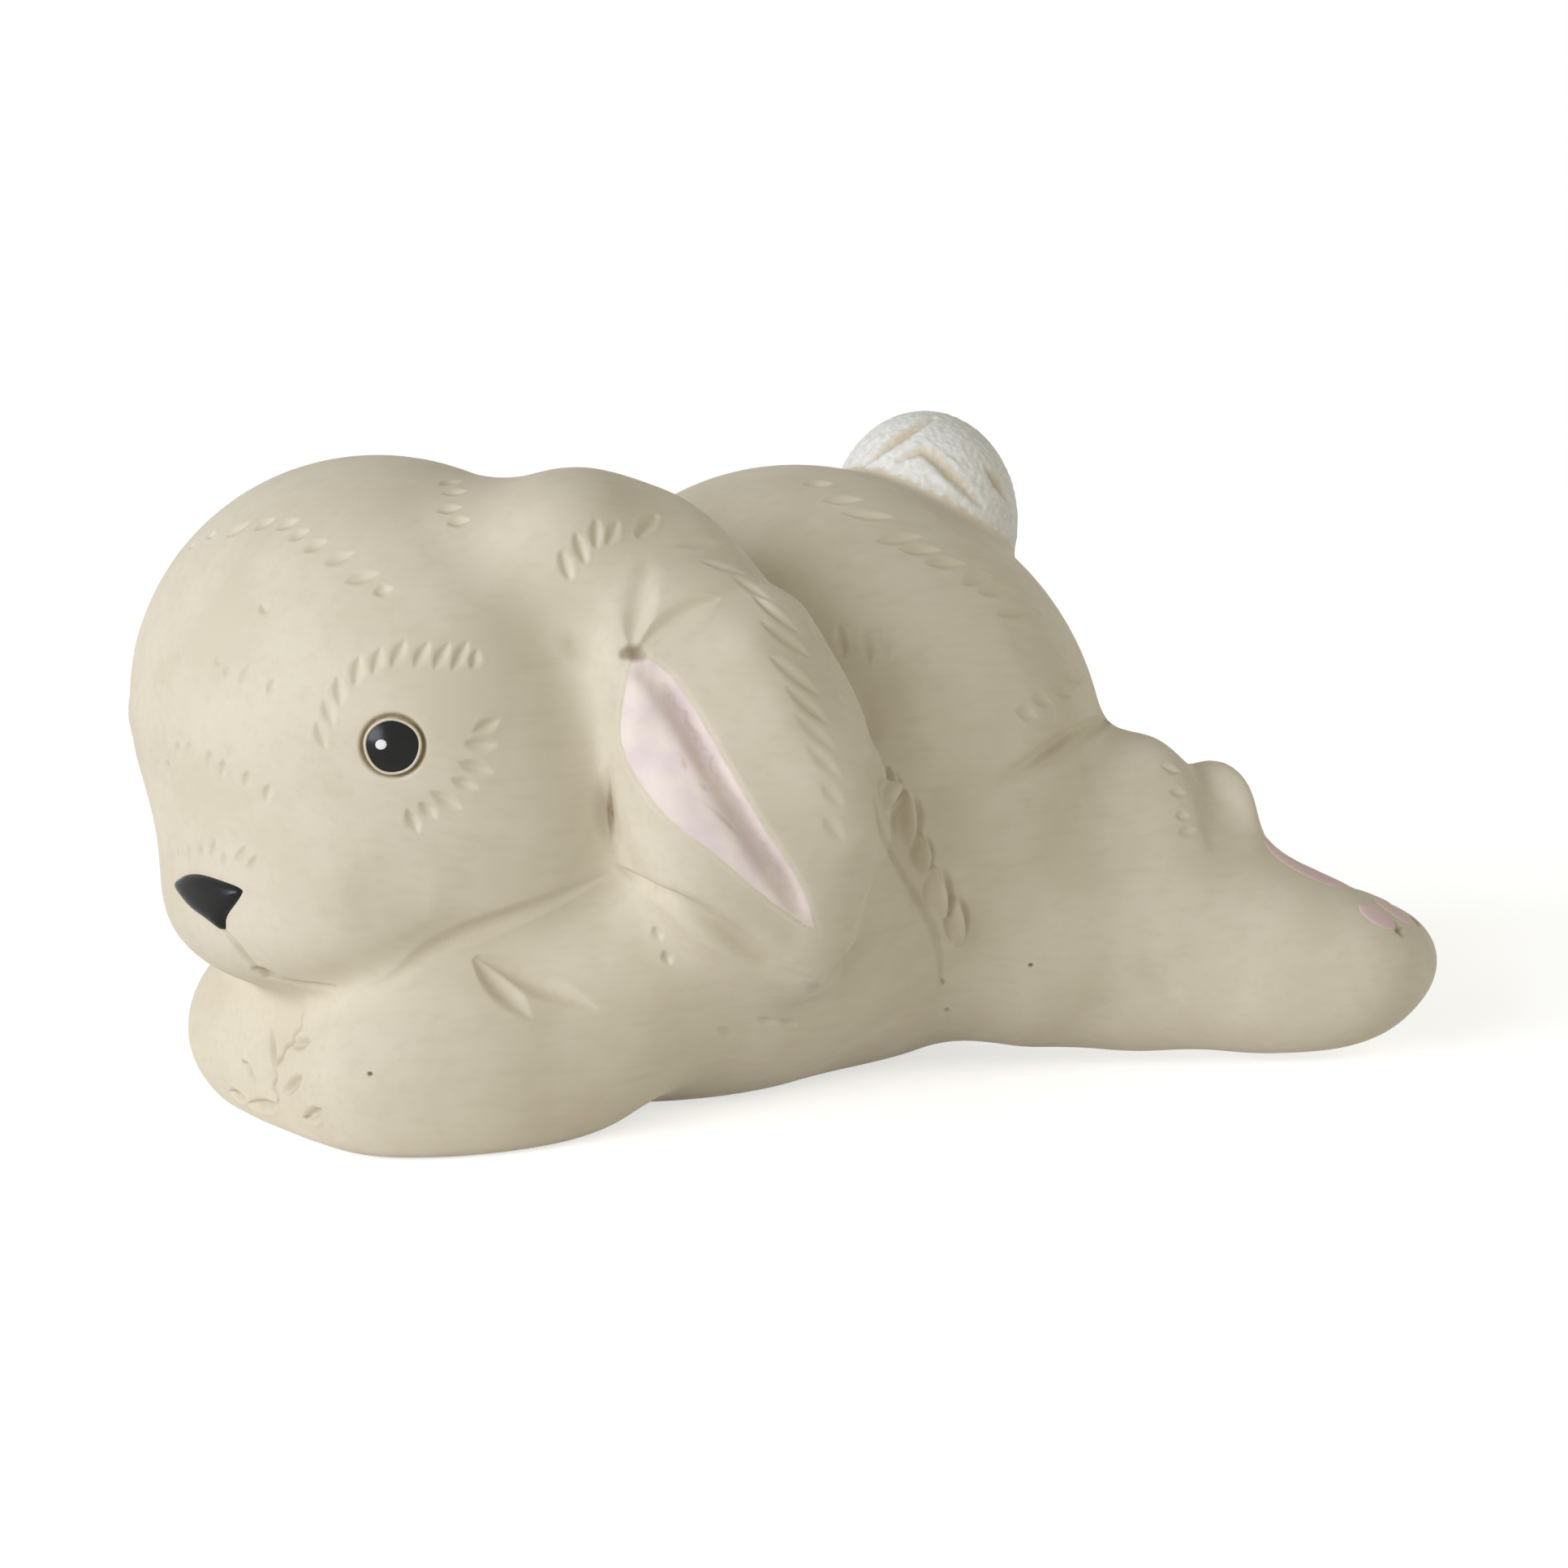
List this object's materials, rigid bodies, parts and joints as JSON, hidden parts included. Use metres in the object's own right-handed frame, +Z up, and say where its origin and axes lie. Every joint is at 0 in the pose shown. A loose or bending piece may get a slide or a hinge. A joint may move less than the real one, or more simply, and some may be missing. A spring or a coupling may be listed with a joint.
{
  "type": "rabbit ornament",
  "caption": "Lop-eared rabbit ornament that lies flat with its chin on folded forelegs, its hind legs stretched out behind with the soles up, and a round tail.",
  "frame": {"origin": "middle of the bounding box, on the surface that the ornament lies on", "axes": "+X from the head towards the hind feet, +Y towards the rabbit's right side, +Z up"},
  "size_m": [0.1924, 0.1218, 0.0995],
  "materials": {
    "painted_clay": "brushed matte paint with a darker wash in the creases",
    "dabbed_white": "matte white dabbed over beige",
    "gloss_black": "gloss enamel",
    "pale_pink": "dry-brushed matte pink"
  },
  "bodies": {
    "root": {"torso": "painted_clay", "head": "painted_clay", "left_foreleg": "painted_clay", "left_hind_leg": "painted_clay", "left_ear": "painted_clay", "right_foreleg": "painted_clay", "right_hind_leg": "painted_clay", "right_ear": "painted_clay", "left_eye_ring": "painted_clay", "right_eye_ring": "painted_clay", "tail": "dabbed_white", "left_eye": "gloss_black", "right_eye": "gloss_black", "nose": "gloss_black", "left_ear_lining": "pale_pink", "left_sole_pad": "pale_pink", "left_toe_pad_1": "pale_pink", "left_toe_pad_2": "pale_pink", "left_toe_pad_3": "pale_pink", "right_ear_lining": "pale_pink", "right_sole_pad": "pale_pink", "right_toe_pad_1": "pale_pink", "right_toe_pad_2": "pale_pink", "right_toe_pad_3": "pale_pink"}
  },
  "joints": []
}
